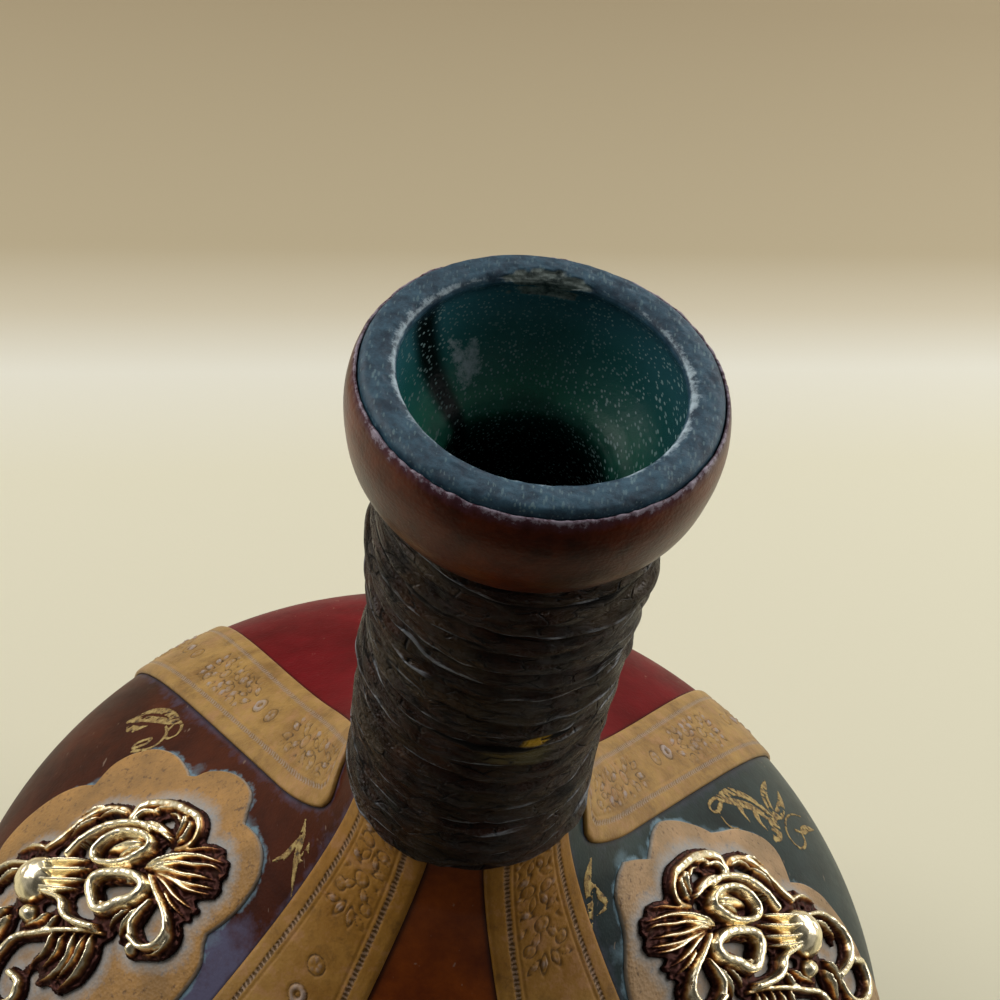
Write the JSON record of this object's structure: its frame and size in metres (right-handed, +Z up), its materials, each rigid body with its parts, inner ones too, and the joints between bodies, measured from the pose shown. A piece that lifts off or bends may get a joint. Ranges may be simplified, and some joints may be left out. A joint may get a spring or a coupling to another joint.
{
  "type": "decanter",
  "caption": "Tall-necked glass decanter with an onion body and a funnel mouth, covered in coloured leather panels, tooled straps, side patches with gilt mounts, and a wound leather neck.",
  "frame": {"origin": "centre of the flat base, on the underside of the leather disc", "axes": "+Z up along the bottle's axis, -Y towards the front of the picture, +X and -X towards the sides that carry the gilt mounts"},
  "size_m": [0.173, 0.1726, 0.2388],
  "materials": {
    "green_glass": "thick dark green blown glass, glossy, dusty at the lip",
    "collar_leather": "smooth red-brown leather, satin",
    "wrap_leather": "creased dark brown leather, semi-matt",
    "strap_leather": "tan ochre leather, tooled, satin",
    "patch_leather": "pinkish tan leather, semi-matt",
    "base_leather": "dark brown leather, matt",
    "gilt_metal": "polished gilt casting with dark patina in its hollows",
    "panel_leather_red_brown": "dark red-brown leather, satin",
    "panel_leather_green": "dark green leather, satin",
    "panel_leather_red": "deep red leather, satin",
    "panel_leather_brown": "purple-brown leather, satin"
  },
  "bodies": {
    "root": {"base_disc": "base_leather", "glass_bottle": "green_glass", "panel_front": "panel_leather_red_brown", "panel_right": "panel_leather_green", "panel_back": "panel_leather_red", "panel_left": "panel_leather_brown", "strap_front_right": "strap_leather", "strap_front_left": "strap_leather", "strap_back_right": "strap_leather", "strap_back_left": "strap_leather", "patch_right": "patch_leather", "patch_left": "patch_leather", "gilt_mount_right": "gilt_metal", "gilt_mount_left": "gilt_metal", "lip_collar": "collar_leather", "neck_sleeve": "wrap_leather", "neck_wrap": "wrap_leather"}
  },
  "joints": []
}
